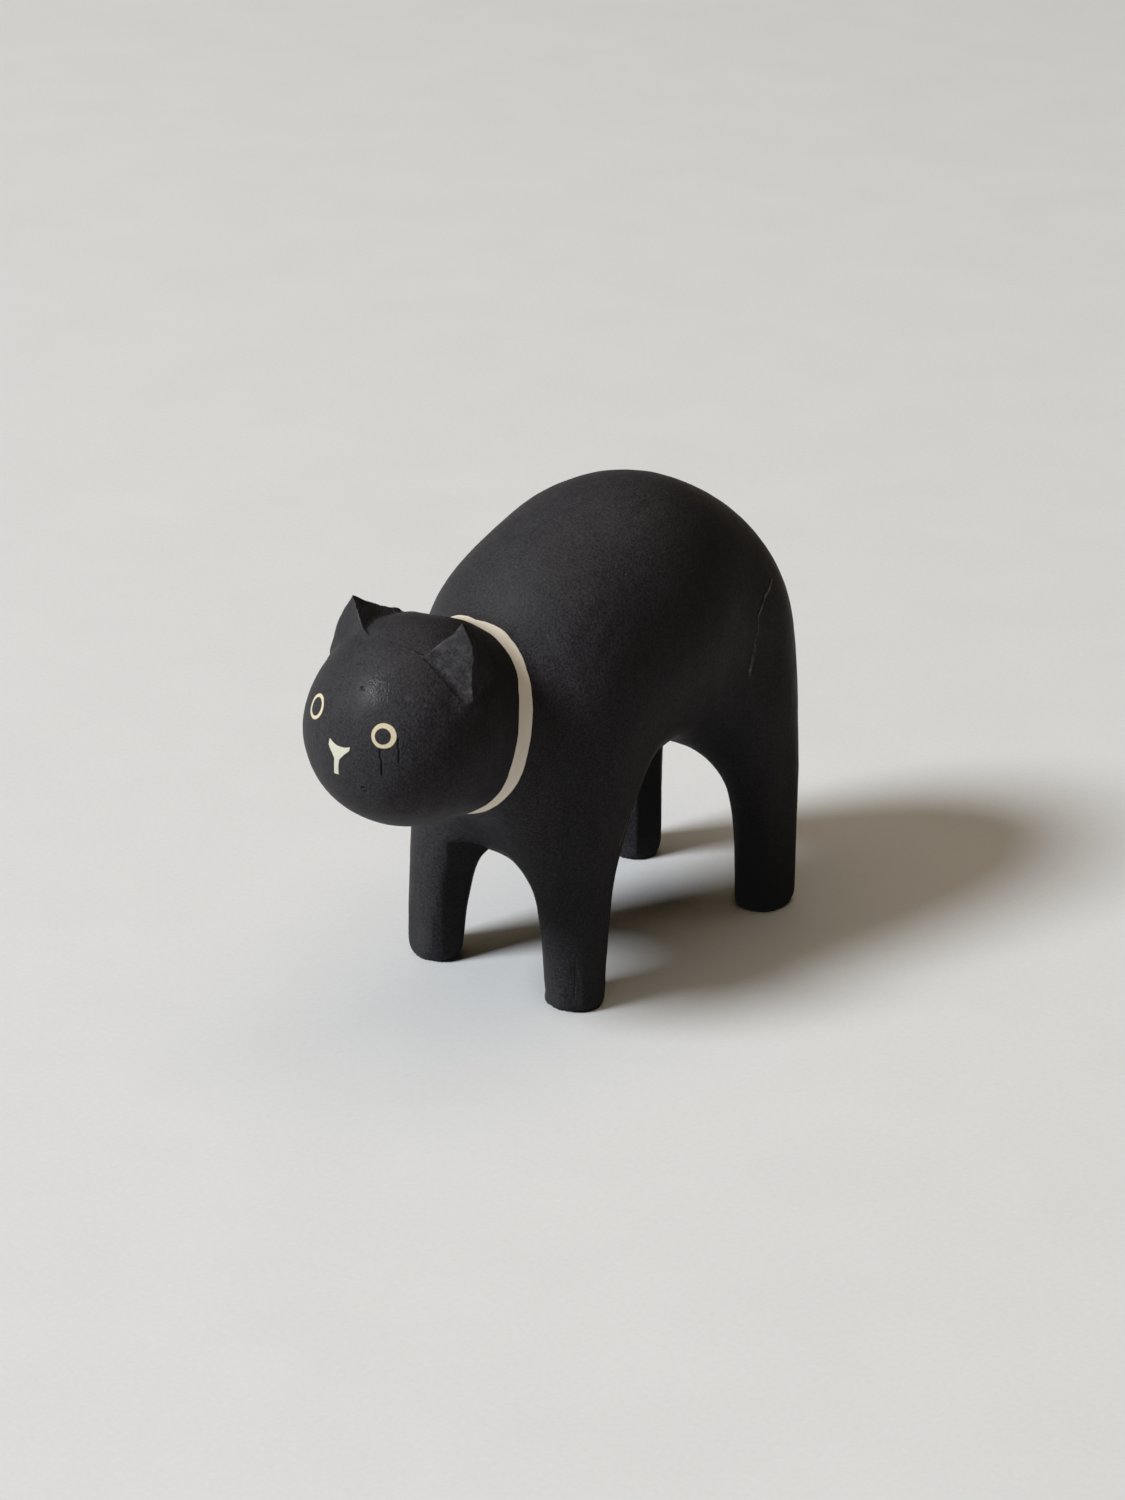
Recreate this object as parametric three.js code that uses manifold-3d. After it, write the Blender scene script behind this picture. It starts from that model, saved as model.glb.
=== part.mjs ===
// Carved and painted wooden cat figure, one block of wood standing on four short legs.
// Millimetres, +Z up. The cat looks along -Y and its own left side is +X. Soles lie at z = 0.
// The form below is laid out from its first sawn edge, and the sole cut then lifts the ground to SOLE_LEVEL.

import * as THREE from 'three';
import { ConvexGeometry } from 'three/addons/geometries/ConvexGeometry.js';
import { mergeVertices } from 'three/addons/utils/BufferGeometryUtils.js';
import Module from 'manifold-3d';

// Trunk: one long barrel, with a mass of its own over the hind legs and over the front legs
const TRUNK_FULLNESS = 12.6;
const BARREL = { at: [0, 15.2, 58.5], half: [21.8, 29.5, 23.9], lean: 3.0 };
const HAUNCH = { at: [0, 38.7, 47.9], half: [19.3, 12.3, 19.6], lean: 0 };
const CHEST = { at: [0, -5.2, 47.4], half: [19.2, 14.0, 24.2], lean: 0 };

// Neck: an oval drum that carries the head, its top leaning back
const NECK = { at: [0, -19.1, 49.8], half: [11.7, 13.5], reach: 8, lean: 13.5, edge: 6 };
const NECK_TO_TRUNK = 8;

// Head: a ball a little longer than it is wide, with a flatter crown behind the forehead
const HEAD = { at: [0, -33.7, 55.3], half: [16.3, 17.4, 16.1], lean: -2.9 };
const CROWN = { at: [0, -31.7, 60.0], half: [13.0, 14.0, 12.5], lean: 0 };
const HEAD_TO_NECK = 6;
const CROWN_BLEND = 3;

// Ears: a flat front face leaning back, a steep inner face, and a ridge that runs back from the tip
const EARS = [
  { side: 1, tip: [11.4, -34.1, 75.5], innerBase: [6.9, -37.9, 70.2] },
  { side: -1, tip: [11.4, -34.1, 74.1], innerBase: [4.4, -39.2, 70.7] },
];
const EAR_OUTER_BASE = [14.0, -35.9, 63.6];
const EAR_RIDGE_END = [9.0, -26.4, 70.0];
const EAR_BACK_BASE = [12.2, -26.4, 64.0];
const EAR_ROOTS = [[7.5, -33.4, 62.0], [11.5, -33.4, 60.0], [8.0, -27.4, 62.0]];
const EAR_EDGE_BULGES = [{ along: 0.45, bulge: 1.1 }, { along: 0.93, bulge: 0.8 }];

// Legs: well-rounded columns sawn off flat at the sole, each flaring into the trunk higher up
const LEG_TOP = 46;
const LEG_CORNER = 4.8;
const LEG_CORNER_GROWTH = 3.35;
const LEG_CROWN = 20;
const LEG_TO_TRUNK = 9.5;
const SOLE_LEVEL = 1.0;
const SOLE_EDGE = { starts: 2.8, inset: 0.24 };
const LEFT_FLARE = { outward: -0.9, inward: 11.8, ahead: 0, behind: 10.5, power: 1.76 };
const RIGHT_FLARE = { outward: -0.9, inward: 6.2, ahead: 0, behind: 14.5, power: 1.76 };
const HIND_FLARE = { outward: 3.0, inward: 3.6, ahead: 15.6, behind: -1.9, power: 2.7 };
const LEGS = [
  { side: 1, foot: [14.4, -9.2], half: [5.0, 4.8], flare: LEFT_FLARE },
  { side: -1, foot: [-14.9, -10.9], half: [5.2, 4.1], flare: RIGHT_FLARE },
  { side: 1, foot: [15.2, 41.4], half: [4.7, 5.6], flare: HIND_FLARE },
  { side: -1, foot: [-14.8, 42.1], half: [5.2, 4.6], flare: HIND_FLARE },
];

// Facets: spacing of the lattice that the surface is drawn through, and the room around it
const FACET = 2.35;
const LATTICE_LOW = [-26, -56, -6];
const LATTICE_HIGH = [26, 55, 88];
const SETTLE_STEPS = 4;
const EVENING_PASSES = 3;
const PROBE = 0.02;
const SOLE_TRIM = 20;

// Finish
const PAINT_COLOUR = 0x1c1b1c;
const PAINT_ROUGHNESS = 0.62;

const radians = THREE.MathUtils.degToRad;
const clamp = THREE.MathUtils.clamp;

// Two distances joined with a fillet of the given width
function blend(a, b, width) {
  const overlap = Math.max(width - Math.abs(a - b), 0) / width;
  return Math.min(a, b) - overlap * overlap * width * 0.25;
}

// Two distances crossed with a rounded edge of the given width
function trim(a, b, width) {
  return -blend(-a, -b, width);
}

// Distance from an ellipsoid whose long axis leans up by a few degrees
function ellipsoid(x, y, z, form) {
  const lean = radians(form.lean);
  const dx = x - form.at[0];
  const dy = (y - form.at[1]) * Math.cos(lean) + (z - form.at[2]) * Math.sin(lean);
  const dz = (z - form.at[2]) * Math.cos(lean) - (y - form.at[1]) * Math.sin(lean);
  const [hx, hy, hz] = form.half;
  const size = Math.hypot(dx / hx, dy / hy, dz / hz);
  const slope = Math.hypot(dx / hx ** 2, dy / hy ** 2, dz / hz ** 2);
  return slope > 0 ? (size * (size - 1)) / slope : -Math.min(hx, hy, hz);
}

// Distance from the neck, an oval drum between the trunk and the head
function neck(x, y, z) {
  const lean = radians(NECK.lean);
  const dy = y - NECK.at[1];
  const dz = z - NECK.at[2];
  const rise = dy * Math.sin(lean) + dz * Math.cos(lean);
  const along = dy * Math.cos(lean) - dz * Math.sin(lean);
  const [a, b] = NECK.half;
  const size = Math.hypot(x / a, rise / b);
  const slope = Math.hypot(x / a ** 2, rise / b ** 2);
  const around = slope > 0 ? (size * (size - 1)) / slope : -a;
  return trim(around, Math.abs(along) - NECK.reach, NECK.edge);
}

// Distance from one leg, whose four faces each flare by an amount of their own and draw in at the sole
function leg(x, y, z, { side, foot, half, flare }) {
  const rise = clamp(z / LEG_TOP, 0, 1) ** flare.power;
  const [halfWidth, halfDepth] = half;
  const across = side * x;
  const outer = side * foot[0] + halfWidth + flare.outward * rise;
  const inner = side * foot[0] - halfWidth - flare.inward * rise;
  const front = foot[1] - halfDepth - flare.ahead * rise;
  const back = foot[1] + halfDepth + flare.behind * rise;
  const corner = LEG_CORNER + LEG_CORNER_GROWTH * rise;
  const qx = Math.abs(across - (outer + inner) / 2) - (outer - inner) / 2 + corner;
  const qy = Math.abs(y - (front + back) / 2) - (back - front) / 2 + corner;
  const outside = Math.hypot(Math.max(qx, 0), Math.max(qy, 0));
  const around = outside + Math.min(Math.max(qx, qy), 0) - corner;
  const inset = SOLE_EDGE.inset * Math.max(SOLE_EDGE.starts - z, 0) ** 2;
  return trim(around + inset, z - LEG_TOP, LEG_CROWN);
}

// Distance from the whole carved form without its ears, with a stub of waste below each sole
function carving(x, y, z) {
  let trunk = ellipsoid(x, y, z, BARREL);
  for (const mass of [HAUNCH, CHEST]) {
    trunk = blend(trunk, ellipsoid(x, y, z, mass), TRUNK_FULLNESS);
  }
  let legs = Infinity;
  for (const one of LEGS) {
    const next = leg(x, y, z, one);
    legs = legs === Infinity ? next : blend(legs, next, LEG_TO_TRUNK);
  }
  const body = blend(trunk, legs, LEG_TO_TRUNK);
  const shoulders = blend(body, neck(x, y, z), NECK_TO_TRUNK);
  const skull = blend(ellipsoid(x, y, z, HEAD), ellipsoid(x, y, z, CROWN), CROWN_BLEND);
  return blend(shoulders, skull, HEAD_TO_NECK);
}

// Slope of the carved form at a point
function slopeAt(x, y, z) {
  return [
    (carving(x + PROBE, y, z) - carving(x - PROBE, y, z)) / (2 * PROBE),
    (carving(x, y + PROBE, z) - carving(x, y - PROBE, z)) / (2 * PROBE),
    (carving(x, y, z + PROBE) - carving(x, y, z - PROBE)) / (2 * PROBE),
  ];
}

// A point near the surface, moved onto it
function settle(point) {
  for (let step = 0; step < SETTLE_STEPS; step += 1) {
    const gap = carving(...point);
    const slope = slopeAt(...point);
    const steepness = slope[0] ** 2 + slope[1] ** 2 + slope[2] ** 2;
    for (let axis = 0; axis < 3; axis += 1) {
      point[axis] -= (gap * slope[axis]) / steepness;
    }
  }
  return point;
}

// Corners drawn towards the middle of their neighbours and settled again, so that facets are even
function evenedOut(corners, triangles) {
  let current = corners;
  for (let pass = 0; pass < EVENING_PASSES; pass += 1) {
    const sums = new Float64Array(current.length);
    const counts = new Float64Array(current.length / 3);
    for (let index = 0; index < triangles.length; index += 1) {
      const self = triangles[index];
      const next = triangles[index % 3 === 2 ? index - 2 : index + 1];
      counts[self] += 1;
      for (let axis = 0; axis < 3; axis += 1) {
        sums[self * 3 + axis] += current[next * 3 + axis];
      }
    }
    current = Array.from(sums, (sum, place) => {
      const mean = sum / counts[Math.floor(place / 3)];
      return (mean + current[place]) / 2;
    });
    for (let place = 0; place < current.length; place += 3) {
      current.splice(place, 3, ...settle(current.slice(place, place + 3)));
    }
  }
  return current;
}

// Closed surface of the carved form, with one corner in each lattice cell that it crosses
function carvedSurface() {
  const count = LATTICE_LOW.map((low, axis) => Math.ceil((LATTICE_HIGH[axis] - low) / FACET) + 1);
  const stride = [1, count[0], count[0] * count[1]];
  const place = (index, axis) => LATTICE_LOW[axis] + index * FACET;
  const depth = new Float64Array(count[0] * count[1] * count[2]);
  for (let k = 0; k < count[2]; k += 1) {
    for (let j = 0; j < count[1]; j += 1) {
      for (let i = 0; i < count[0]; i += 1) {
        depth[i + j * stride[1] + k * stride[2]] = carving(place(i, 0), place(j, 1), place(k, 2));
      }
    }
  }

  const corners = [];
  const cornerOfCell = new Map();
  function cornerOf(i, j, k) {
    const cell = i + j * stride[1] + k * stride[2];
    if (cornerOfCell.has(cell)) {
      return cornerOfCell.get(cell);
    }
    const sum = new THREE.Vector3();
    let crossings = 0;
    for (let axis = 0; axis < 3; axis += 1) {
      const [u, v] = [(axis + 1) % 3, (axis + 2) % 3];
      for (let edge = 0; edge < 4; edge += 1) {
        const start = [i, j, k];
        start[u] += edge & 1;
        start[v] += edge >> 1;
        const from = start[0] + start[1] * stride[1] + start[2] * stride[2];
        const [a, b] = [depth[from], depth[from + stride[axis]]];
        if (a < 0 !== b < 0) {
          start[axis] += a / (a - b);
          sum.add(new THREE.Vector3(...start));
          crossings += 1;
        }
      }
    }
    sum.divideScalar(crossings);
    corners.push(...settle([place(sum.x, 0), place(sum.y, 1), place(sum.z, 2)]));
    const number = corners.length / 3 - 1;
    cornerOfCell.set(cell, number);
    return number;
  }

  const triangles = [];
  for (let axis = 0; axis < 3; axis += 1) {
    const [u, v] = [(axis + 1) % 3, (axis + 2) % 3];
    for (let k = 1; k < count[2] - 1; k += 1) {
      for (let j = 1; j < count[1] - 1; j += 1) {
        for (let i = 1; i < count[0] - 1; i += 1) {
          const from = i + j * stride[1] + k * stride[2];
          const inside = depth[from] < 0;
          if (inside === depth[from + stride[axis]] < 0) {
            continue;
          }
          const ring = [[0, 0], [1, 0], [1, 1], [0, 1]].map(([back, down]) => {
            const cell = [i, j, k];
            cell[u] -= back;
            cell[v] -= down;
            return cornerOf(...cell);
          });
          const [a, b, c, d] = inside ? ring : ring.reverse();
          triangles.push(a, b, c, a, c, d);
        }
      }
    }
  }

  const geometry = new THREE.BufferGeometry();
  geometry.setAttribute('position', new THREE.Float32BufferAttribute(evenedOut(corners, triangles), 3));
  geometry.setIndex(triangles);
  return geometry;
}

// One ear as a small flat-faced wedge rooted in the head
function earGeometry({ side, tip, innerBase }) {
  const at = ([x, y, z]) => new THREE.Vector3(side * x, y, z);
  const [top, inner, outer] = [tip, innerBase, EAR_OUTER_BASE].map(at);
  const edge = outer.clone().sub(top);
  const frontNormal = inner.clone().sub(top).cross(edge);
  const outward = edge.clone().cross(frontNormal).normalize();
  if (outward.dot(outer.clone().sub(inner)) < 0) {
    outward.negate();
  }
  const roundedEdge = EAR_EDGE_BULGES.map(({ along, bulge }) => (
    top.clone().addScaledVector(edge, along).addScaledVector(outward, bulge)
  ));
  const behind = [EAR_RIDGE_END, EAR_BACK_BASE, ...EAR_ROOTS].map(at);
  return new ConvexGeometry([top, inner, outer, ...roundedEdge, ...behind]);
}

const wasm = await Module();
wasm.setup();

// A closed mesh as a solid that can be joined and cut
function solidOf(geometry) {
  geometry.deleteAttribute('normal');
  geometry.deleteAttribute('uv');
  const merged = mergeVertices(geometry, 1e-4);
  return new wasm.Manifold(new wasm.Mesh({
    numProp: 3,
    vertProperties: new Float32Array(merged.attributes.position.array),
    triVerts: new Uint32Array(merged.index.array),
  }));
}

// A solid as a mesh geometry again
function geometryOf(solid) {
  const { vertProperties, triVerts } = solid.getMesh();
  const geometry = new THREE.BufferGeometry();
  geometry.setAttribute('position', new THREE.BufferAttribute(new Float32Array(vertProperties), 3));
  geometry.setIndex(new THREE.BufferAttribute(new Uint32Array(triVerts), 1));
  geometry.computeVertexNormals();
  return geometry;
}

// Block that takes off the wood below the soles
function soleTrim() {
  const length = LATTICE_HIGH[1] - LATTICE_LOW[1];
  const block = new THREE.BoxGeometry(length, length, SOLE_TRIM);
  block.translate(0, (LATTICE_HIGH[1] + LATTICE_LOW[1]) / 2, SOLE_LEVEL - SOLE_TRIM / 2);
  return block;
}

const cat = EARS
  .reduce((solid, ear) => solid.add(solidOf(earGeometry(ear))), solidOf(carvedSurface()))
  .subtract(solidOf(soleTrim()));

const paintedWood = new THREE.MeshStandardMaterial({
  color: PAINT_COLOUR,
  roughness: PAINT_ROUGHNESS,
  metalness: 0,
});

// The footprint is centred on the origin and the soles stand at z = 0
const catGeometry = geometryOf(cat);
catGeometry.computeBoundingBox();
const middle = catGeometry.boundingBox.getCenter(new THREE.Vector3());
catGeometry.translate(-middle.x, -middle.y, -SOLE_LEVEL);

const carvedCat = new THREE.Mesh(catGeometry, paintedWood);
carvedCat.name = 'carved_cat';

const figure = new THREE.Group();
figure.add(carvedCat);

export default figure;
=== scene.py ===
import math
import bmesh
import bpy
from mathutils import Matrix, Vector, noise
from mathutils.bvhtree import BVHTree
from mathutils.geometry import intersect_point_line


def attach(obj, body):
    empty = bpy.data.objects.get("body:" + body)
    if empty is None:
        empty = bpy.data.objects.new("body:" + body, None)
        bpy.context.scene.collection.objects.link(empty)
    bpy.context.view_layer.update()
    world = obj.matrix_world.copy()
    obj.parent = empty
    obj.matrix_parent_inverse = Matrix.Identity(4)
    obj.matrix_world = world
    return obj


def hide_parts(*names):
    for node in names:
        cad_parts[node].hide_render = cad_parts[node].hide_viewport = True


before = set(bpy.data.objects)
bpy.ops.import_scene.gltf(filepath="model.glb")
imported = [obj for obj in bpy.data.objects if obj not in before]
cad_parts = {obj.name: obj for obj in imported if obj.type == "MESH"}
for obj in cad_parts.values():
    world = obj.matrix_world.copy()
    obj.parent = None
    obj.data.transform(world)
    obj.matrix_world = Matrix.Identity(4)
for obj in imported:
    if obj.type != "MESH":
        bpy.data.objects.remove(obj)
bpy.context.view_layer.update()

# The carved block
# The cat is one block of close-grained wood, sawn to outline and rounded with
# a knife: an arched trunk, four stout legs, and a ball of a head. Every length
# up to the paint is in millimetres.
MM = 0.001
SAME_POINT = 0.001
FLAT_ENOUGH = math.radians(30)
SQUARE_ENOUGH = math.radians(50)
HARD_EDGE = math.radians(35)
FACE_PULL = 1.5
PUSH = 1.35
ROUNDING = 2
MESH_STEP = 0.62

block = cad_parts["carved_cat"]
bm = bmesh.new()
bm.from_mesh(block.data)
bmesh.ops.scale(bm, vec=(1 / MM, 1 / MM, 1 / MM), verts=bm.verts)
bmesh.ops.remove_doubles(bm, verts=bm.verts, dist=SAME_POINT)
bmesh.ops.join_triangles(
    bm,
    faces=bm.faces,
    cmp_seam=False,
    cmp_sharp=False,
    cmp_uvs=False,
    cmp_vcols=False,
    cmp_materials=False,
    angle_face_threshold=FLAT_ENOUGH,
    angle_shape_threshold=SQUARE_ENOUGH,
)
crease = bm.edges.layers.float.new("crease_edge")
for edge in bm.edges:
    if edge.calc_face_angle(0) > HARD_EDGE:
        edge[crease] = 1

# Rounding the facets off draws a form in, so its corners first go out by as
# much, and the legs and the head keep their thickness.
pushed = {}
for corner in bm.verts:
    if not any(edge[crease] for edge in corner.link_edges):
        count = len(corner.link_edges)
        ring = sum((edge.other_vert(corner).co for edge in corner.link_edges), Vector()) / count
        around = sum((face.calc_center_median() for face in corner.link_faces), Vector()) / count
        rounded = (corner.co * (count - 1 - FACE_PULL) + ring + around * FACE_PULL) / count
        pushed[corner] = corner.co + PUSH * (corner.co - rounded)
for corner, place in pushed.items():
    corner.co = place

carved = bpy.data.objects.new("carved_cat_painted", bpy.data.meshes.new("carved_cat_painted"))
bpy.context.scene.collection.objects.link(carved)
bm.to_mesh(carved.data)
bm.free()


def applied(piece):
    """The piece's mesh as its modifiers leave it."""
    return bpy.data.meshes.new_from_object(
        piece.evaluated_get(bpy.context.evaluated_depsgraph_get())
    )


rounding = carved.modifiers.new("rounding", "SUBSURF")
rounding.levels = ROUNDING
rounding.render_levels = ROUNDING
form = applied(carved)
evening = carved.modifiers.new("evening", "REMESH")
evening.mode = "VOXEL"
evening.voxel_size = MESH_STEP
evened = applied(carved)
carved.modifiers.clear()
carved.data = evened
bm = bmesh.new()
bm.from_mesh(carved.data)

# The ears
# Two wedges left standing on the crown, cut to thin edges with flat strokes of
# the knife. The left one stands a little higher than the right one.
EARS = [
    {"side": 1, "tip": (11.4, -34.27, 74.5), "inner": (6.9, -38.07, 69.2)},
    {"side": -1, "tip": (-11.4, -34.27, 73.1), "inner": (-4.4, -39.37, 69.7)},
]
EAR_OUTER = (14.0, -36.07, 62.6)
EAR_REAR = (9.0, -26.57, 69.0)
EARS_FROM_MIDDLE = 3.2
EARS_REARMOST = -24.5
EARS_LOWEST = 61.5
# How far the outer edge stands out from a straight one, at two shares of its
# length.
EAR_BULGES = ((0.45, 1.1), (0.93, 0.8))
# From how far off a point is laid on an edge: one on the knife's own cut, and
# one that happens to lie beside it. Then points too close together become one,
# and slivers go.
CUT_REACH = 0.9
BESIDE_REACH = 0.16
ON_CUT = 0.01
CLOSEST_POINTS = 0.08
SLIVER = 0.03
# Strokes of sanding, and the shrinking reach of those on a ridge's rear end.
SMOOTHING = 0.5
FACE_STROKES = 5
RIDGE_STROKES = 3
RIDGE_FADE = (4.4, 4.0, 3.6, 3.2, 2.8, 2.4)


def near_ears(place):
    return place.y < EARS_REARMOST and place.z > EARS_LOWEST and abs(place.x) > EARS_FROM_MIDDLE


def on_line(place, start, end):
    """The nearest point of a straight line's length."""
    share = intersect_point_line(place, start, end)[1]
    return start.lerp(end, min(max(share, 0), 1))


def on_lines(place, lines):
    """The nearest point of several lines."""
    spots = [on_line(place, start, end) for start, end in lines]
    return min(spots, key=lambda spot: (spot - place).length)


def smooth(points, strokes):
    for stroke in range(strokes):
        bmesh.ops.smooth_vert(
            bm, verts=points, factor=SMOOTHING, use_axis_x=True, use_axis_y=True, use_axis_z=True
        )


def edges_near_ears():
    return [edge for edge in bm.edges if all(near_ears(end.co) for end in edge.verts)]


ear_ridges = []
for ear in EARS:
    tip, inner = Vector(ear["tip"]), Vector(ear["inner"])
    outer = Vector((ear["side"] * EAR_OUTER[0], *EAR_OUTER[1:]))
    rear = Vector((ear["side"] * EAR_REAR[0], *EAR_REAR[1:]))
    slope = outer - tip
    outward = slope.cross((inner - tip).cross(slope)).normalized()
    if outward.dot(outer - inner) < 0:
        outward = -outward
    rim = [tip] + [tip + slope * along + outward * bulge for along, bulge in EAR_BULGES] + [outer]
    core = (tip + inner + outer + rear) / 4
    for start, end in [(tip, inner), (tip, rear), *zip(rim, rim[1:])]:
        ear_ridges.append((start, end, core))
ridge_lines = [(start, end) for start, end, core in ear_ridges]

bmesh.ops.subdivide_edges(bm, edges=edges_near_ears(), cuts=1, use_grid_fill=True)
surface = BVHTree.FromPolygons(
    [corner.co for corner in form.vertices], [face.vertices for face in form.polygons]
)
for point in bm.verts:
    if near_ears(point.co):
        point.co = surface.find_nearest(point.co)[0]

# Each edge of an ear is then cut into the mesh, so that it comes out straight.
on_edge = {}
for start, end, core in ear_ridges:
    close = [face for face in bm.faces if near_ears(face.calc_center_median())]
    parts = dict.fromkeys(part for face in close for part in (face, *face.edges, *face.verts))
    across_edge = (end - start).cross(core - start)
    cut = bmesh.ops.bisect_plane(
        bm, geom=list(parts), plane_co=start, plane_no=across_edge, dist=ON_CUT
    )
    bm.normal_update()
    for point in cut["geom_cut"]:
        if isinstance(point, bmesh.types.BMVert) and point.normal.dot(start + end - 2 * core) > 0:
            nearest = on_line(point.co, start, end)
            if (nearest - point.co).length < CUT_REACH:
                point.co = nearest
                on_edge[point] = True
for point in bm.verts:
    if near_ears(point.co) and point not in on_edge:
        nearest = on_lines(point.co, ridge_lines)
        if (nearest - point.co).length < BESIDE_REACH:
            point.co = nearest
            on_edge[point] = True
bmesh.ops.remove_doubles(bm, verts=list(on_edge), dist=CLOSEST_POINTS)
bmesh.ops.dissolve_degenerate(bm, dist=SLIVER, edges=edges_near_ears())
sharp = {point for point in on_edge if point.is_valid}
bm.normal_update()

# All but the edges is sanded smooth, and the ridge that runs back from each
# tip dies away before the neck.
soft = []
for point in bm.verts:
    bend = max(edge.calc_face_angle(0) for edge in point.link_edges)
    if point not in sharp and (near_ears(point.co) or bend < HARD_EDGE):
        soft.append(point)
smooth(soft, FACE_STROKES)
for side in (1, -1):
    ridge_end = Vector((side * EAR_REAR[0], *EAR_REAR[1:]))
    for reach in RIDGE_FADE:
        smooth([point for point in bm.verts if (point.co - ridge_end).length < reach], RIDGE_STROKES)

# Last strokes fill out the outer edges, thin the tips and even the crown. Each
# has its middle, its reach and how far it moves the wood.
EAR_STROKES = [
    ((12.1, -34.6, 71.2), 4.2, (1.15, 0, 0)),
    ((13.0, -35.2, 67.4), 3.6, (0.35, 0, 0)),
    ((14.2, -36.1, 62.6), 3.2, (0.75, 0, 0)),
    ((11.4, -34.1, 74.5), 2.4, (0, 0, 0.35)),
    ((-12.2, -34.7, 69.7), 4.0, (-0.75, 0, 0)),
    ((-13.1, -35.3, 66.2), 4.0, (-0.95, 0, 0)),
    ((-14.0, -35.9, 62.6), 3.5, (-0.9, 0, 0)),
    ((-11.4, -34.1, 73.1), 2.4, (0, 0, 0.3)),
    ((-4.4, -39.4, 69.7), 2.8, (0.95, 0, -0.1)),
    ((-9.0, -27.4, 69.6), 4.0, (0.6, 0.4, 0.35)),
    ((-7.6, -25.0, 69.2), 3.6, (0, 0, 0.75)),
    ((-2.0, -26.0, 70.6), 6.0, (0, 0, -0.35)),
]
for middle, reach, shift in EAR_STROKES:
    for point in bm.verts:
        away = (point.co - Vector(middle)).length / reach
        if away < 1:
            point.co += Vector(shift) * (1 - away * away) ** 2

# The legs
# They are part of the block, sawn off level at the soles, whose corners are
# left nearly square in places. The knife has left long flat cuts on them that
# meet in soft ridges.
# The sole is level from this height down, and its corners are filled up to the
# next one, within a reach from the leg's middle and fully beyond its core.
SOLE_BAND = 0.25
SOLE_HEIGHT = 1.9
SOLE_REACH = 7
SOLE_CORE = 4
FRONT_LEFT = (14.4, -9.37)
HIND_LEFT = (15.2, 41.23)
FRONT_RIGHT = (-14.9, -11.07)
HIND_RIGHT = (-14.8, 41.93)
SOLE_CORNERS = [
    {"leg": FRONT_LEFT, "toward": (-0.77, -0.64), "fill": 0.85},
    {"leg": HIND_LEFT, "toward": (-0.77, -0.64), "fill": 0.45},
    {"leg": FRONT_LEFT, "toward": (0.77, 0.64), "fill": 0.3},
]
for point in bm.verts:
    if point.co.z < SOLE_BAND:
        point.co.z = 0
for corner in SOLE_CORNERS:
    for point in bm.verts:
        out = point.co.xy - Vector(corner["leg"])
        if point.co.z < SOLE_HEIGHT and 0 < out.length < SOLE_REACH:
            share = max(0, out.normalized().dot(Vector(corner["toward"]))) ** 2
            low = 1 - point.co.z / SOLE_HEIGHT
            outermost = min(1, out.length / SOLE_CORE)
            point.co.xy += out.normalized() * corner["fill"] * share * low * outermost

# A cut faces so many degrees from straight ahead, towards the cat's left, lies
# so deep from the leg's middle, and runs out at its height.
FLAT_CUTS = [
    {"leg": HIND_RIGHT, "facing": 23, "depth": 4.2, "height": 27},
    {"leg": HIND_RIGHT, "facing": 71, "depth": 4.3, "height": 27},
    {"leg": FRONT_RIGHT, "facing": -12, "depth": 3.8, "height": 24},
    {"leg": FRONT_RIGHT, "facing": 40, "depth": 4.35, "height": 20},
    {"leg": FRONT_RIGHT, "facing": 69, "depth": 4.5, "height": 24},
    {"leg": FRONT_LEFT, "facing": 38, "depth": 4.5, "height": 22},
    {"leg": FRONT_LEFT, "facing": 70, "depth": 4.6, "height": 22},
    {"leg": HIND_LEFT, "facing": 20, "depth": 4.9, "height": 20},
]
LEG_REACH = 12
RUN_OUT = 2.2
CUT_AWAY = 0.9
for cut in FLAT_CUTS:
    facing = math.radians(cut["facing"])
    outward = Vector((math.sin(facing), -math.cos(facing), 0))
    axis = Vector((*cut["leg"], 0))
    for point in bm.verts:
        local = point.co - axis
        if point.co.z < cut["height"] and local.xy.length < LEG_REACH:
            fade = RUN_OUT * (point.co.z / cut["height"]) ** 3
            proud = local.dot(outward) - cut["depth"] - fade
            if proud > 0:
                point.co -= outward * proud * CUT_AWAY

# The brow
# The round of the face ends in a low ridge between the ears, where the knife
# turned to the flatter crown. Then the whole block was sanded.
BROW = [(-0.5, -40.1, 70.2), (1.74, -39.8, 70.2), (3.8, -39.1, 70.0), (6.6, -38.3, 69.2)]
# Behind the ridge the crown drops within one step and comes back over a fade.
BROW_DROP = 0.36
BROW_STEP = 0.7
BROW_FADE = 2.6
# The ridge is full so far to each side of its middle and then dies away.
BROW_MIDDLE = 4.2
BROW_HALF = 2.2
BROW_ENDS = 3.2
BROW_SIDES = 9
BROW_FRONT, BROW_BACK = -43, -28
BROW_LOW, BROW_HIGH = 66, 72.2
brow_points = [Vector(place) for place in BROW]
brow_lines = list(zip(brow_points, brow_points[1:]))
for point in bm.verts:
    x, y, z = point.co
    if abs(x) < BROW_SIDES and BROW_FRONT < y < BROW_BACK and BROW_LOW < z < BROW_HIGH:
        nearest = on_lines(point.co, brow_lines)
        behind = (point.co - nearest).length
        ends = 1 - (abs(nearest.x - BROW_MIDDLE) - BROW_HALF) / BROW_ENDS
        if y > nearest.y:
            drop = BROW_DROP * min(1, max(0, ends)) * min(1, behind / BROW_STEP)
            point.co.z -= drop * math.exp(-behind / BROW_FADE)

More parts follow.
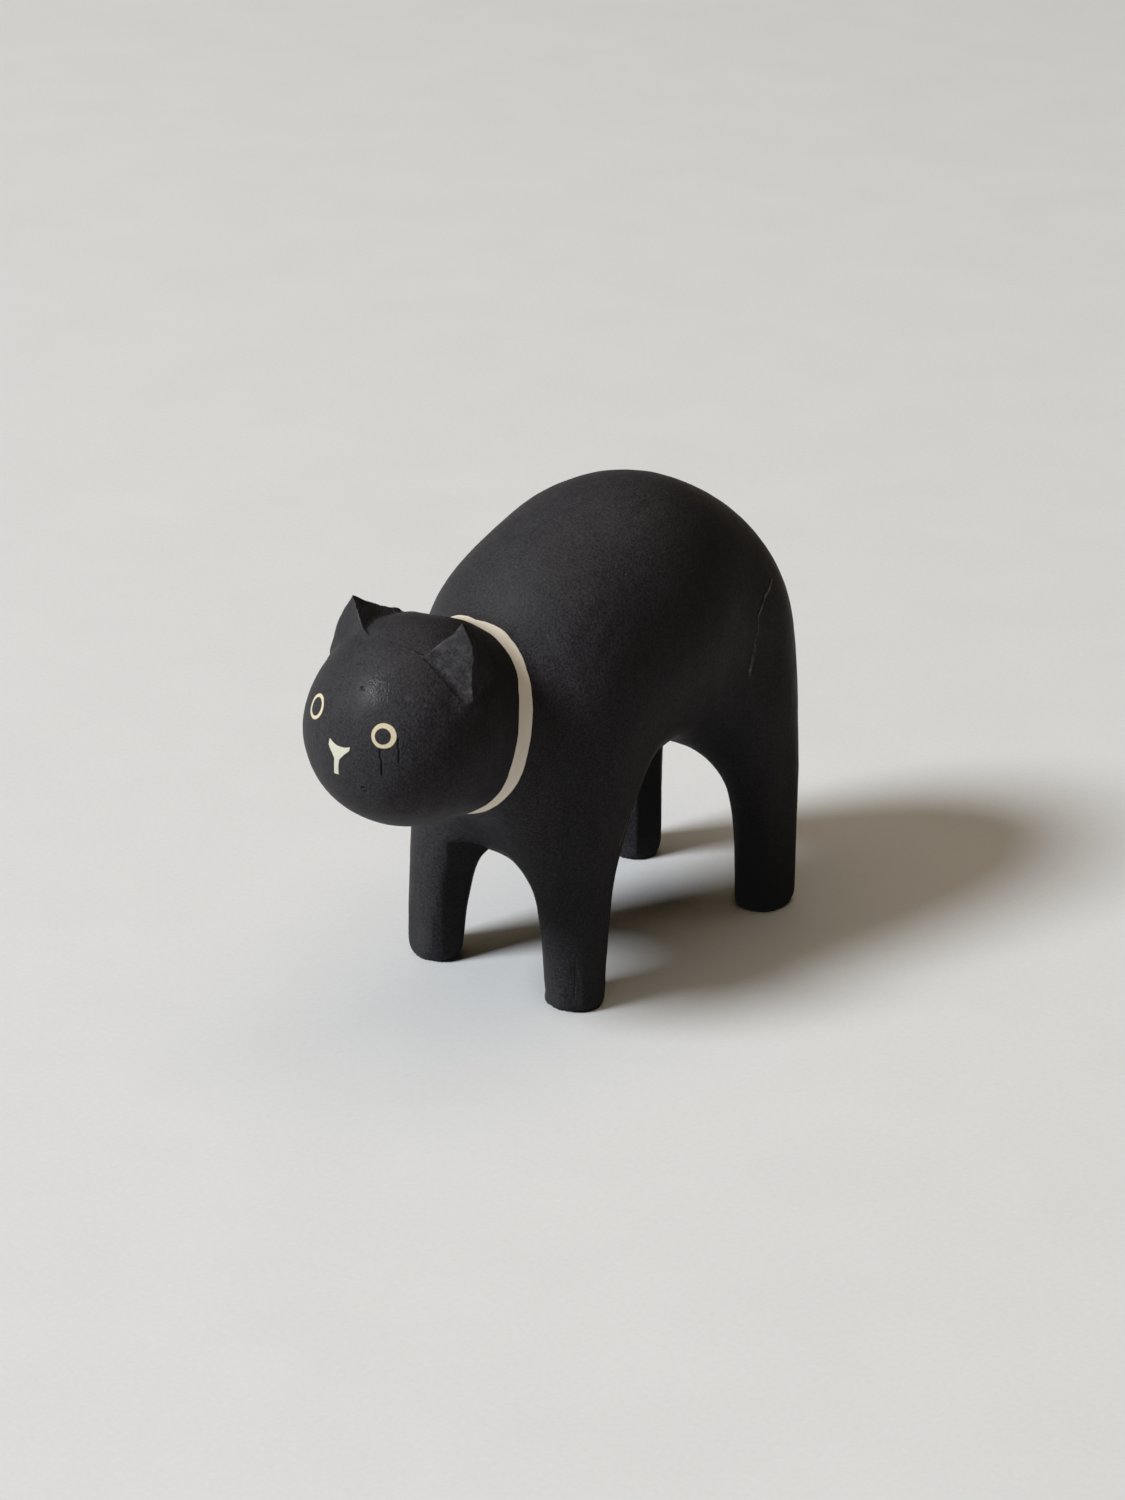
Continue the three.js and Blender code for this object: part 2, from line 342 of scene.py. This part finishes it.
# What sanding leaves: the surface still rises and falls by less than a tenth
# of a millimetre, in broad waves with closer ones on them.
BROAD_WAVE, BROAD_HEIGHT = 9, 0.09
CLOSE_WAVE, CLOSE_HEIGHT = 2.6, 0.035
CLOSE_SHIFT = Vector((7, 3, 1))
bm.normal_update()
for point in bm.verts:
    if point.co.z > 0:
        broad = noise.noise(point.co / BROAD_WAVE)
        close = noise.noise(point.co / CLOSE_WAVE + CLOSE_SHIFT)
        point.co += point.normal * (BROAD_HEIGHT * broad + CLOSE_HEIGHT * close)

# Cracks and pits
# The block dried with a few fine cracks down the grain and lost some crumbs of
# wood. The long one on the left haunch was filled and painted over, so it
# stands up as a low seam.
MARKS = [
    # Two cracks under the left eye.
    {
        "line": [(7.49, -49.01, 57.1), (7.55, -49.0, 55.9), (7.8, -49.0, 55.6), (7.84, -49.0, 53.0)],
        "wide": 0.17,
        "deep": 0.24,
    },
    {
        "line": [(9.6, -47.08, 58.8), (9.65, -47.2, 57.6), (9.95, -47.3, 57.2), (10.04, -47.49, 55.3)],
        "wide": 0.15,
        "deep": 0.18,
    },
    # The seam on the left haunch, upper and lower length, and a crack beside it.
    {
        "line": [(17.2, 37.5, 61.9), (18.2, 35.6, 61.0), (18.7, 33.6, 60.4), (19.79, 30.47, 58.0)],
        "wide": 0.32,
        "deep": -0.1,
        "rub_and_highlight_share": 1.5,
    },
    {
        "line": [(19.79, 30.47, 58.0), (20.15, 30.2, 55.6), (20.3, 29.2, 54.0), (20.25, 28.1, 48.9)],
        "wide": 0.26,
        "deep": -0.07,
        "rub_and_highlight_share": 1.1,
    },
    {
        "line": [(20.2, 30.1, 53.0), (20.25, 29.8, 50.9), (20.2, 29.3, 49.0)],
        "wide": 0.16,
        "deep": 0.08,
        "rub_and_highlight_share": 0.6,
    },
    # A split above the left front leg.
    {
        "line": [(18.2, 3.6, 38.4), (18.7, 1.4, 36.1), (19.3, -1.9, 32.9), (19.25, -4.3, 28.2)],
        "wide": 0.3,
        "deep": 0.14,
        "rub_and_highlight_share": 1.3,
    },
    # The filler's swollen lower end on the haunch.
    {
        "line": [(20.2, 29.6, 53.2), (20.3, 28.9, 50.6), (20.25, 28.3, 48.4)],
        "wide": 0.42,
        "deep": -0.05,
        "rub_and_highlight_share": 0.9,
    },
    # A crack low on the left front leg.
    {"line": [(17.5, -13.05, 10.4), (17.45, -13.1, 6.5), (17.4, -13.15, 2.9)], "wide": 0.14, "deep": 0.1},
    # Two scratches on the left shoulder.
    {
        "line": [(10.11, -13.21, 66.67), (11.3, -13.1, 65.5), (12.0, -13.7, 63.9)],
        "wide": 0.22,
        "deep": 0.05,
        "rub_and_highlight_share": 0.8,
    },
    {
        "line": [(10.9, -12.3, 66.4), (11.9, -12.4, 65.2), (12.4, -12.9, 64.2)],
        "wide": 0.18,
        "deep": 0.04,
        "rub_and_highlight_share": 0.7,
    },
    # A lost crumb on the brow, and the knife's crease at the foot of the left ear.
    {"line": [(1.7, -46.65, 65.2), (1.8, -46.7, 65.1)], "wide": 0.32, "deep": 0.3},
    {
        "line": [(9.2, -37.85, 67.6), (9.94, -37.76, 67.12), (12.27, -37.14, 64.87), (13.9, -36.7, 63.3)],
        "wide": 0.55,
        "deep": 0.13,
    },
    # Pits between the eyes and on the chin.
    {"line": [(0.41, -50.14, 60.0), (0.45, -50.14, 59.9)], "wide": 0.26, "deep": 0.22},
    {"line": [(4.81, -49.85, 50.3), (4.5, -49.9, 50.1)], "wide": 0.24, "deep": 0.2},
    {"line": [(4.9, -49.6, 49.6), (4.95, -49.6, 49.5)], "wide": 0.3, "deep": 0.2},
]
# A mark reaches no further than this past its ends or through the wood. The
# mesh is cut finer close to it, where its edges are still long.
MARK_MARGIN = 2
FINE_WITHIN = 0.75
FINE_STEP = 0.26
FINE_CUTS = 3


def off_mark(point, line):
    """How far a point of the surface is from a line drawn on this side of the wood."""
    steps = [point.co - on_line(point.co, start, end) for start, end in zip(line, line[1:])]
    along_surface = [step - point.normal * step.dot(point.normal) for step in steps]
    return min(
        flat.length + max(0, step.length - MARK_MARGIN) for flat, step in zip(along_surface, steps)
    )


rub_and_highlight = bm.verts.layers.float.new("rub_and_highlight")
bm.normal_update()
for mark in MARKS:
    line = [Vector(place) for place in mark["line"]]
    span = (line[-1] - line[0]).length + MARK_MARGIN
    close = [point for point in bm.verts if (point.co - line[0]).length < span]
    close = [point for point in close if off_mark(point, line) < FINE_WITHIN]
    around = dict.fromkeys(edge for point in close for edge in point.link_edges)
    coarse = [edge for edge in around if edge.calc_length() > FINE_STEP]
    bmesh.ops.subdivide_edges(bm, edges=coarse, cuts=FINE_CUTS, use_grid_fill=True)
    bm.normal_update()
    dents = []
    for point in bm.verts:
        if (point.co - line[0]).length < span:
            off = off_mark(point, line) / mark["wide"]
            if off < 1:
                dents.append((point, point.normal * mark["deep"] * (1 - off * off)))
                point[rub_and_highlight] = max(point[rub_and_highlight], mark.get("rub_and_highlight_share", 0) * (1 - off * off))
    for point, dent in dents:
        point.co -= dent

# Edges that fingers reach are rubbed. Along the brow ridge the same lighter line is a painted highlight,
# and the front of the left ear, which faces the light, gets a painted highlight too. How much is kept with
# the mesh, for the paint to read.
RUBBED_AND_HIGHLIT_LINES = ridge_lines + brow_lines[1:]
RUBBED_AND_HIGHLIT_WIDTH = 0.45
PAINTED_EAR_HIGHLIGHT = 0.62
EAR_HIGHLIGHT_SIDE = 8.2
EAR_HIGHLIGHT_LOWEST = 64
EAR_HIGHLIGHT_FACING = 0.55
for point in bm.verts:
    off = (on_lines(point.co, RUBBED_AND_HIGHLIT_LINES) - point.co).length
    point[rub_and_highlight] = max(point[rub_and_highlight], 1 - off / RUBBED_AND_HIGHLIT_WIDTH)
    # The left ear's front, where it faces the light, is painted lighter as a painted highlight.
    on_left_ear = near_ears(point.co) and point.co.x > EAR_HIGHLIGHT_SIDE and point.co.z > EAR_HIGHLIGHT_LOWEST
    if on_left_ear and -point.normal.y > EAR_HIGHLIGHT_FACING:
        point[rub_and_highlight] = max(point[rub_and_highlight], PAINTED_EAR_HIGHLIGHT)
bmesh.ops.scale(bm, vec=(MM, MM, MM), verts=bm.verts)
for face in bm.faces:
    face.smooth = True
bm.to_mesh(carved.data)
bm.free()
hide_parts("carved_cat")
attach(carved, "root")

# The black coat
# Matte black acrylic, brushed in thin coats straight onto the sanded wood. It
# is nearly free of gloss, so it looks soft and deep, and the grain and the
# brush still show through it.
PAINT_BLACK = "#3c3b3d"
# Brush marks are about 2 mm wide and three times as long. The grain and the
# grit are drawn 0.3 to 0.4 mm wide, twice as coarse as they are, so that they
# show. Sizes are in millimetres, and the last one runs up, along the grain.
BRUSH_MARK = (2.222, 2.222, 6.667)
GRAIN = (0.303, 0.303, 2.0)
GRIT = 0.3846
# How much lighter and darker they make the coat, as a share of its colour.
BRUSH_TONE = 0.24
GRIT_TONE = 1.1


def linear(hex_colour):
    parts = [int(hex_colour[i : i + 2], 16) / 255 for i in (1, 3, 5)]
    return [p / 12.92 if p <= 0.04045 else ((p + 0.055) / 1.055) ** 2.4 for p in parts] + [1]


def add(tree, kind, feeds=None, **settings):
    """Adds a node with its settings, and links or sets its inputs."""
    made = tree.nodes.new(kind)
    for name, value in settings.items():
        setattr(made, name, value)
    for socket, source in (feeds or {}).items():
        if isinstance(source, bpy.types.Node):
            source = source.outputs[0]
        if isinstance(source, bpy.types.NodeSocket):
            tree.links.new(source, made.inputs[socket])
        else:
            made.inputs[socket].default_value = source
    return made


def material(name):
    made = bpy.data.materials.new(name)
    made.use_nodes = True
    return made, made.node_tree, made.node_tree.nodes["Principled BSDF"]


def per_metre(sizes):
    return [1 / (size * MM) for size in sizes]


paint, tree, shader = material("matte black acrylic on sanded wood")
carved.data.materials.clear()
carved.data.materials.append(paint)
shader.inputs["IOR"].default_value = 1.45
shader.inputs["Specular IOR Level"].default_value = 0.1
place = add(tree, "ShaderNodeTexCoord").outputs["Object"]
brush_place = add(tree, "ShaderNodeMapping", {"Vector": place, "Scale": per_metre(BRUSH_MARK)})
brush = add(tree, "ShaderNodeTexNoise", {"Vector": brush_place, "Scale": 1.0, "Detail": 2.0})
grain_place = add(tree, "ShaderNodeMapping", {"Vector": place, "Scale": per_metre(GRAIN)})
grain = add(tree, "ShaderNodeTexNoise", {"Vector": grain_place, "Scale": 1.0, "Detail": 1.0})
grit = add(tree, "ShaderNodeTexNoise", {"Vector": place, "Scale": 1 / (GRIT * MM), "Detail": 2.0})
evenly = 1 - (BRUSH_TONE + GRIT_TONE) / 2
tone = add(tree, "ShaderNodeMath", {0: brush, 1: BRUSH_TONE, 2: evenly}, operation="MULTIPLY_ADD")
tone = add(tree, "ShaderNodeMath", {0: grit, 1: GRIT_TONE, 2: tone}, operation="MULTIPLY_ADD")
coat = add(tree, "ShaderNodeVectorMath", {0: linear(PAINT_BLACK)[:3], "Scale": tone}, operation="SCALE")

# The collar band
# A stripe of cream acrylic brushed round the neck, where the head meets the
# trunk. Both of its edges are drawn by hand, so its width wanders.
COLLAR_CREAM = "#e2d7c7"
COLLAR_AT = Vector((0, -21.86, 51.6))
COLLAR_LEAN = 0.235
COLLAR_REACH = 24.0
# Width from the middle line towards the face and towards the trunk, in
# millimetres, by degrees from the top of the neck to its underside.
FACE_EDGE = [
    (0, 2.6), (10, 2.3), (18, 1.4), (30, 0.8), (40, 0.5), (58, 1.5),
    (93, 2.8), (104, 2.7), (118, 1.9), (140, 1.2), (150, 2.4), (180, 2.4),
]
TRUNK_EDGE = [(0, 0.1), (14, 1.05), (26, 1.5), (38, 1.76), (100, 1.75), (122, 2.25), (180, 2.1)]
WIDEST = 4.0
# The paint's edge is this soft, and the hand shook so far, over such a length.
PAINT_EDGE = 0.06
HAND_SHAKE = 0.2
SHAKE_LENGTH = 1.6


def least_room(tree, limits):
    """How far inside a painted shape a place is, from each limit and what it limits."""
    least = None
    for limit, measure in limits:
        room = add(tree, "ShaderNodeMath", {0: limit, 1: measure}, operation="SUBTRACT")
        if least:
            room = add(tree, "ShaderNodeMath", {0: least, 1: room}, operation="MINIMUM")
        least = room
    return least


def painted(tree, inside):
    """Turns a distance inside a painted shape, in millimetres, into its mask."""
    return add(
        tree,
        "ShaderNodeMapRange",
        {"Value": inside, "From Min": -PAINT_EDGE, "From Max": PAINT_EDGE},
        interpolation_type="SMOOTHSTEP",
    )


def millimetres_at(tree, at, axes=None):
    """Object coordinates in millimetres, counted from a place and turned to its axes."""
    turn = Matrix(axes).transposed().to_euler() if axes else (0, 0, 0)
    return add(
        tree,
        "ShaderNodeMapping",
        {"Vector": place, "Location": Vector(at) * MM, "Rotation": turn, "Scale": (MM, MM, MM)},
        vector_type="TEXTURE",
    )


def lay_curve(mapping, curve, spots, corners=False):
    """Lays a curve's handles on the spots it is drawn through."""
    while len(curve.points) < len(spots):
        curve.points.new(0.5, 0.5)
    for handle, spot in zip(curve.points, spots):
        handle.location = spot
        if corners:
            handle.handle_type = "VECTOR"
    mapping.update()


shake_scale = 1 / (SHAKE_LENGTH * MM)
shake = add(tree, "ShaderNodeTexNoise", {"Vector": place, "Scale": shake_scale, "Detail": 1.0})
hand = add(
    tree, "ShaderNodeMath", {0: shake, 1: HAND_SHAKE, 2: -HAND_SHAKE / 2}, operation="MULTIPLY_ADD"
)
toward_top = Vector((0, math.sin(COLLAR_LEAN), math.cos(COLLAR_LEAN)))
toward_face = Vector((0, -math.cos(COLLAR_LEAN), math.sin(COLLAR_LEAN)))
neck_place = millimetres_at(tree, COLLAR_AT, (Vector((1, 0, 0)), toward_top, toward_face))
neck_parts = add(tree, "ShaderNodeSeparateXYZ", {0: neck_place})
sideways = add(tree, "ShaderNodeMath", {0: neck_parts.outputs["X"]}, operation="ABSOLUTE")
round_neck = add(tree, "ShaderNodeMath", {0: sideways, 1: neck_parts.outputs["Y"]}, operation="ARCTAN2")
round_share = add(tree, "ShaderNodeMath", {0: round_neck, 1: math.pi}, operation="DIVIDE")
collar_edges = []
for strokes, away in ((FACE_EDGE, WIDEST), (TRUNK_EDGE, -WIDEST)):
    drawn = add(tree, "ShaderNodeFloatCurve", {"Value": round_share})
    spots = [(degrees / 180, reach / WIDEST) for degrees, reach in strokes]
    lay_curve(drawn.mapping, drawn.mapping.curves[0], spots)
    collar_edges.append(add(tree, "ShaderNodeMath", {0: drawn, 1: away}, operation="MULTIPLY"))
along_neck = add(tree, "ShaderNodeMath", {0: neck_parts.outputs["Z"], 1: hand}, operation="ADD")
from_neck = add(tree, "ShaderNodeVectorMath", {0: neck_place}, operation="LENGTH").outputs["Value"]
in_collar = least_room(
    tree, [(collar_edges[0], along_neck), (along_neck, collar_edges[1]), (COLLAR_REACH, from_neck)]
)
collar = painted(tree, in_collar)

# The eyes
# Two cream rings drawn with a fine brush, with the black coat left showing
# inside. Each ring is a little thicker on one side.
EYE_CREAM = "#e0d2b2"
EYES = [
    {
        "at": (-6.25, -48.55, 60.42),
        "faces": (-0.42, -0.78, 0.45),
        "outer": 2.07,
        "inner": 1.5,
        "inside": (0.0, 0.0),
    },
    {
        "at": (7.56, -48.21, 59.26),
        "faces": (0.47, -0.82, 0.32),
        "outer": 1.97,
        "inner": 1.28,
        "inside": (-0.13, -0.1),
    },
]
EYE_FLATTEN = (1, 1, 0.35)
rings = []
for eye in EYES:
    faces = Vector(eye["faces"]).normalized()
    level = Vector((0, 0, 1)).cross(faces).normalized()
    eye_place = millimetres_at(tree, eye["at"], (level, faces.cross(level), faces))
    flat = add(tree, "ShaderNodeVectorMath", {0: eye_place, 1: EYE_FLATTEN}, operation="MULTIPLY")
    shifted = add(tree, "ShaderNodeVectorMath", {0: flat, 1: (*eye["inside"], 0)}, operation="SUBTRACT")
    from_middle = add(tree, "ShaderNodeVectorMath", {0: flat}, operation="LENGTH").outputs["Value"]
    from_inside = add(tree, "ShaderNodeVectorMath", {0: shifted}, operation="LENGTH").outputs["Value"]
    drawn_by_hand = add(tree, "ShaderNodeMath", {0: from_middle, 1: hand}, operation="ADD")
    in_ring = least_room(tree, [(eye["outer"], drawn_by_hand), (from_inside, eye["inner"])])
    rings.append(painted(tree, in_ring))
eyes = add(tree, "ShaderNodeMath", {0: rings[0], 1: rings[1]}, operation="MAXIMUM")

# The nose
# A small spread triangle and a short stem under it, in one pale stroke. Its
# top edge sags, and it leans a little to the cat's right.
NOSE_GREY = "#dcdac6"
NOSE_AT = (0.7, -50.9, 56.5)
STEM_HALF_WIDTH = 0.45
FLARE_HALF_WIDTH = 2.5
FLARE_DEPTH = 2.3
FLARE_RUN = 3
FLARE_CURVE = 1.1
WIDEST_HALF = 2.05
NOSE_DEPTH = 4.95
NOSE_BACK = 5.0
NOSE_LEAN = 0.13
# How far down the top edge lies, by its tilt and by the square of the way out.
TOP_TILT = 0.126
TOP_SAG = -0.125
nose_parts = add(tree, "ShaderNodeSeparateXYZ", {0: millimetres_at(tree, NOSE_AT)})
nose_across = nose_parts.outputs["X"]
drop = add(tree, "ShaderNodeMath", {0: nose_parts.outputs["Z"], 1: -1.0}, operation="MULTIPLY")
leaning = add(tree, "ShaderNodeMath", {0: drop, 1: NOSE_LEAN, 2: nose_across}, operation="MULTIPLY_ADD")
from_stem = add(tree, "ShaderNodeMath", {0: leaning}, operation="ABSOLUTE")
flare_left = add(
    tree,
    "ShaderNodeMath",
    {0: drop, 1: -1 / FLARE_RUN, 2: FLARE_DEPTH / FLARE_RUN},
    operation="MULTIPLY_ADD",
    use_clamp=True,
)
flare = add(tree, "ShaderNodeMath", {0: flare_left, 1: FLARE_CURVE}, operation="POWER")
half_width = add(
    tree,
    "ShaderNodeMath",
    {0: flare, 1: FLARE_HALF_WIDTH, 2: STEM_HALF_WIDTH},
    operation="MULTIPLY_ADD",
)
squared = add(tree, "ShaderNodeMath", {0: nose_across, 1: nose_across}, operation="MULTIPLY")
sag = add(tree, "ShaderNodeMath", {0: squared, 1: TOP_SAG}, operation="MULTIPLY")
top_edge = add(tree, "ShaderNodeMath", {0: nose_across, 1: TOP_TILT, 2: sag}, operation="MULTIPLY_ADD")
in_nose = least_room(
    tree,
    [
        (half_width, from_stem),
        (drop, top_edge),
        (NOSE_DEPTH, drop),
        (WIDEST_HALF, from_stem),
        (NOSE_BACK, nose_parts.outputs["Y"]),
    ],
)
nose = painted(tree, add(tree, "ShaderNodeMath", {0: in_nose, 1: hand}, operation="ADD"))

# Wear, dust and painted highlights
# Fingers have rubbed the coat thin on the ears' edges and the marks. A painted highlight runs along the
# brow ridge and lies on the left ear's front. Pale dust sits in the pores all over.
RUB_AND_HIGHLIGHT_GREY = "#84807c"
RUB_AND_HIGHLIGHT_FROM = 0.26
RUB_AND_HIGHLIGHT_FULL = 0.7
RUB_AND_HIGHLIGHT_MOST = 0.4
PATCH_SIZE = 1.1
DUST_GREY = "#8d8983"
DUST_MOST = 0.28
PORE_SPACING = 1.1
# A pore's size and its soft rim are shares of that spacing, and the higher
# the rarity, the fewer pores are large.
PORE_LARGEST = 0.13
PORE_RARITY = 14
PORE_RIM = (-0.01, 0.06)
# One paler grey carries the real rubbing and the painted highlights on the brow ridge and the left ear's
# front.
rub_and_highlight_here = add(tree, "ShaderNodeAttribute", attribute_name="rub_and_highlight").outputs["Fac"]
patch_scale = 1 / (PATCH_SIZE * MM)
patchy = add(tree, "ShaderNodeTexNoise", {"Vector": place, "Scale": patch_scale, "Detail": 3.0})
patchy_rub_and_highlight = add(tree, "ShaderNodeMath", {0: rub_and_highlight_here, 1: patchy}, operation="MULTIPLY")
rub_and_highlight_share = add(
    tree,
    "ShaderNodeMapRange",
    {"Value": patchy_rub_and_highlight, "From Min": RUB_AND_HIGHLIGHT_FROM, "From Max": RUB_AND_HIGHLIGHT_FULL, "To Max": RUB_AND_HIGHLIGHT_MOST},
)
pores = add(tree, "ShaderNodeTexVoronoi", {"Vector": place, "Scale": 1 / (PORE_SPACING * MM)})
pore_luck = add(tree, "ShaderNodeSeparateColor", {0: pores.outputs["Color"]})
rarity = add(tree, "ShaderNodeMath", {0: pore_luck.outputs["Red"], 1: PORE_RARITY}, operation="POWER")
pore_size = add(tree, "ShaderNodeMath", {0: rarity, 1: PORE_LARGEST}, operation="MULTIPLY")
in_pore = least_room(tree, [(pore_size, pores.outputs["Distance"])])
dust = add(
    tree,
    "ShaderNodeMapRange",
    {"Value": in_pore, "From Min": PORE_RIM[0], "From Max": PORE_RIM[1], "To Max": DUST_MOST},
)

# The coats go on one over the other. Sockets 6 and 7 are the Mix node's colours.
colour = coat.outputs[0]
for mask, hex_colour in (
    (rub_and_highlight_share, RUB_AND_HIGHLIGHT_GREY),
    (collar, COLLAR_CREAM),
    (eyes, EYE_CREAM),
    (nose, NOSE_GREY),
    (dust, DUST_GREY),
):
    layer = add(tree, "ShaderNodeMix", {0: mask, 6: colour, 7: linear(hex_colour)}, data_type="RGBA")
    colour = layer.outputs[2]
tree.links.new(colour, shader.inputs["Base Color"])

# Years of handling left the brow a little satin, where light catches it.
BROW_SATIN = (4.6, -45.2, 65.8)
SATIN_REACH = 6.2
SATIN_MIDDLE = 1.0
SATIN_GAIN = 0.56
MATTE = 0.56
GRIT_ROUGHNESS = 0.16
brow_place = millimetres_at(tree, BROW_SATIN)
from_brow = add(tree, "ShaderNodeVectorMath", {0: brow_place}, operation="LENGTH").outputs["Value"]
satin = add(
    tree,
    "ShaderNodeMapRange",
    {"Value": from_brow, "From Min": SATIN_REACH, "From Max": SATIN_MIDDLE},
    interpolation_type="SMOOTHSTEP",
)
gloss = add(tree, "ShaderNodeMath", {0: satin, 1: patchy}, operation="MULTIPLY")
dullest = MATTE - GRIT_ROUGHNESS / 2
dullness = add(tree, "ShaderNodeMath", {0: gloss, 1: -SATIN_GAIN, 2: dullest}, operation="MULTIPLY_ADD")
roughness = add(
    tree, "ShaderNodeMath", {0: grit, 1: GRIT_ROUGHNESS, 2: dullness}, operation="MULTIPLY_ADD"
)
tree.links.new(roughness.outputs[0], shader.inputs["Roughness"])

# The coat follows the grit, the grain and the brush marks, a twentieth of a
# millimetre high at most, and a little more on the brow.
RELIEF_HEIGHT = 0.05
GRAIN_RELIEF = 0.7
BRUSH_RELIEF = 1.2
BROW_RELIEF = 0.35
relief = add(tree, "ShaderNodeMath", {0: grain, 1: GRAIN_RELIEF, 2: grit}, operation="MULTIPLY_ADD")
relief = add(tree, "ShaderNodeMath", {0: brush, 1: BRUSH_RELIEF, 2: relief}, operation="MULTIPLY_ADD")
coarser = add(tree, "ShaderNodeMath", {0: satin, 1: BROW_RELIEF, 2: 1.0}, operation="MULTIPLY_ADD")
relief = add(tree, "ShaderNodeMath", {0: relief, 1: coarser}, operation="MULTIPLY")
bump = add(tree, "ShaderNodeBump", {"Height": relief, "Distance": RELIEF_HEIGHT * MM})
tree.links.new(bump.outputs["Normal"], shader.inputs["Normal"])

# The table
# A sheet of pale, matte paper for the cat to stand on, so many metres to each
# side that it runs out of view. Clumps of fibres and faint clouds, whose sizes
# are in millimetres, mottle it.
TABLE_HALF = 3
PAPER_WHITE = "#e7e7e7"
FIBRE_CLUMP = 0.9
CLOUD = 24
FIBRE_TONE = 0.09
CLOUD_TONE = 0.06
bm = bmesh.new()
bmesh.ops.create_grid(bm, x_segments=1, y_segments=1, size=TABLE_HALF)
table = bpy.data.objects.new("table", bpy.data.meshes.new("table"))
bm.to_mesh(table.data)
bm.free()
bpy.context.scene.collection.objects.link(table)
paper, tree, shader = material("matte paper")
shader.inputs["Roughness"].default_value = 1
shader.inputs["Specular IOR Level"].default_value = 0
place = add(tree, "ShaderNodeTexCoord").outputs["Object"]
fibres = add(tree, "ShaderNodeTexNoise", {"Vector": place, "Scale": 1 / (FIBRE_CLUMP * MM), "Detail": 3.0})
clouds = add(tree, "ShaderNodeTexNoise", {"Vector": place, "Scale": 1 / (CLOUD * MM), "Detail": 2.0})
evenly = 1 - (FIBRE_TONE + CLOUD_TONE) / 2
mottle = add(tree, "ShaderNodeMath", {0: fibres, 1: FIBRE_TONE, 2: evenly}, operation="MULTIPLY_ADD")
mottle = add(tree, "ShaderNodeMath", {0: clouds, 1: CLOUD_TONE, 2: mottle}, operation="MULTIPLY_ADD")
sheet = add(tree, "ShaderNodeVectorMath", {0: linear(PAPER_WHITE)[:3], "Scale": mottle}, operation="SCALE")
tree.links.new(sheet.outputs[0], shader.inputs["Base Color"])
table.data.materials.append(paper)

# The light
# A soft window in front of the cat, on the camera's left, a wide weak light
# overhead, and a warm room that is lightest along the foot of its walls.
# Lengths are in metres.
WINDOW_FROM = Vector((-0.314, -0.647, 0.694))
WINDOW_AWAY = 4
WINDOW_ACROSS = 1.2
WINDOW_WATTS = 152
DAYLIGHT = (0.905, 0.952, 1.0)
ABOVE_HEIGHT = 3
ABOVE_ACROSS = 3
ABOVE_WATTS = 28.2
WARM = (1.0, 0.855, 0.66)
# The walls dim from their foot up, over this share of the way to the zenith.
WALL_FOOT = 0.03
WALL_TOP = 0.18
FOOT_LIGHT = 0.4
ROOM_LIGHT = 0.03


def soft_light(name, shape, across, watts, tint, spot):
    made = bpy.data.objects.new(name, bpy.data.lights.new(name, "AREA"))
    made.data.shape = shape
    made.data.size = across
    made.data.energy = watts
    made.data.color = tint
    made.location = spot
    bpy.context.scene.collection.objects.link(made)
    return made


window = soft_light(
    "window", "DISK", WINDOW_ACROSS, WINDOW_WATTS, DAYLIGHT, WINDOW_FROM * WINDOW_AWAY
)
window.rotation_euler = WINDOW_FROM.to_track_quat("Z", "Y").to_euler()
soft_light("above", "SQUARE", ABOVE_ACROSS, ABOVE_WATTS, WARM, (0, 0, ABOVE_HEIGHT))
room = bpy.data.worlds.new("room")
bpy.context.scene.world = room
room.use_nodes = True
tree = room.node_tree
tree.nodes["Background"].inputs["Color"].default_value = (*WARM, 1)
height = add(tree, "ShaderNodeSeparateXYZ", {0: add(tree, "ShaderNodeTexCoord").outputs["Generated"]})
walls = add(
    tree,
    "ShaderNodeMapRange",
    {
        "Value": height.outputs["Z"],
        "From Min": WALL_FOOT,
        "From Max": WALL_TOP,
        "To Min": FOOT_LIGHT,
        "To Max": ROOM_LIGHT,
    },
)
tree.links.new(walls.outputs["Result"], tree.nodes["Background"].inputs["Strength"])

# The camera
# It looks down on the cat's left front from about arm's length, given in
# millimetres. On its film the darkest tones run together and the greys above
# them are a little steeper.
AZIMUTH = math.radians(39.641)
ELEVATION = math.radians(24.264)
ROLL = math.radians(0.58)
AIM = Vector((3.05, 0.467, 39))
DISTANCE = 687.5
LENS = 100
FILM_HEIGHT = 36
FILM_TONES = [
    (0, 0.0035), (0.0105, 0.0041), (0.0165, 0.0069), (0.0225, 0.0103),
    (0.03, 0.0174), (0.04, 0.032), (0.05, 0.0437), (0.08, 0.079), (1, 0.995),
]
back = Vector((
    math.sin(AZIMUTH) * math.cos(ELEVATION),
    -math.cos(AZIMUTH) * math.cos(ELEVATION),
    math.sin(ELEVATION),
))
right = Vector((math.cos(AZIMUTH), math.sin(AZIMUTH), 0))
up = back.cross(right)
across = right * math.cos(ROLL) + up * math.sin(ROLL)
upright = up * math.cos(ROLL) - right * math.sin(ROLL)
camera = bpy.data.objects.new("camera", bpy.data.cameras.new("camera"))
camera.data.lens = LENS
camera.data.sensor_fit = "VERTICAL"
camera.data.sensor_height = FILM_HEIGHT
stand = Matrix((across, upright, back)).transposed().to_4x4()
stand.translation = (AIM + back * DISTANCE) * MM
camera.matrix_world = stand
bpy.context.scene.collection.objects.link(camera)
bpy.context.scene.camera = camera
film = bpy.context.scene.view_settings
film.view_transform = "Standard"
film.use_curve_mapping = True
lay_curve(film.curve_mapping, film.curve_mapping.curves[3], FILM_TONES, corners=True)
